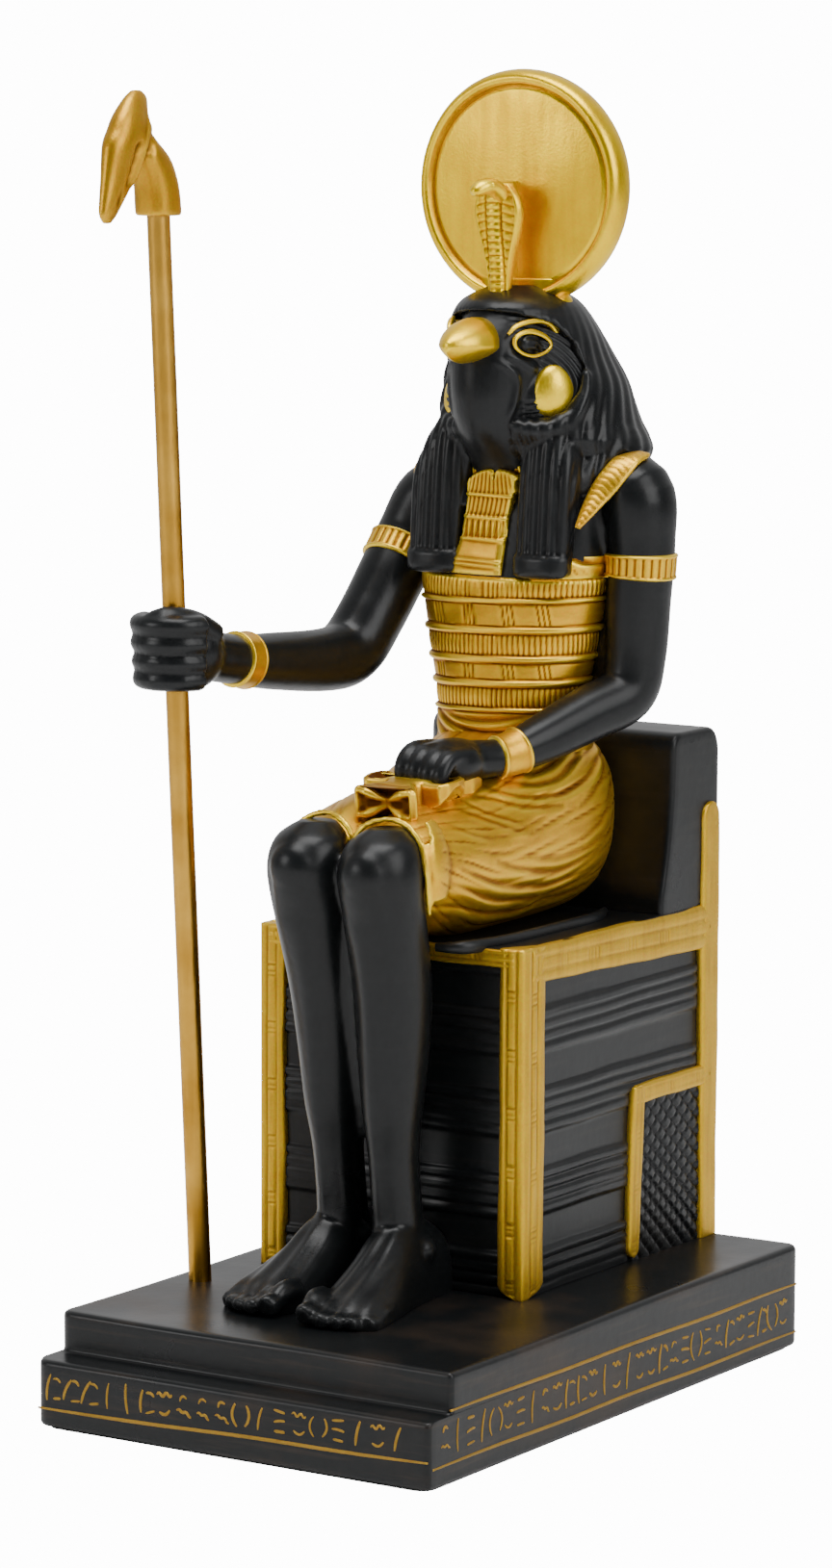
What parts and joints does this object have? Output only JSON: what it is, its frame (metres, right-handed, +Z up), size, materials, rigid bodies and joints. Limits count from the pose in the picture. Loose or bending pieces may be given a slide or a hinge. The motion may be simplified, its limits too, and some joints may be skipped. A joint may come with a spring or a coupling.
{
  "type": "seated horus falcon figure",
  "caption": "Seated falcon-headed figure with sun disc and staff, on a panelled throne and a stepped plinth.",
  "frame": {"origin": "middle of the felt pad's underside, on the surface that the figure stands on", "axes": "+Z up, -Y towards the front that the figure faces, +X towards the figure's left hand"},
  "size_m": [0.0797, 0.118, 0.2179],
  "materials": {
    "black_resin": "cold-cast resin under satin black paint, with the dress, bands and strips in gold paint",
    "gold_paint": "antiqued gold paint, brown in the recesses",
    "gilt_metal": "gilt metal rod, satin",
    "felt": "black adhesive felt"
  },
  "bodies": {
    "root": {"statue": "black_resin", "staff_head": "gold_paint", "staff_rod": "gilt_metal", "felt_pad": "felt"}
  },
  "joints": []
}
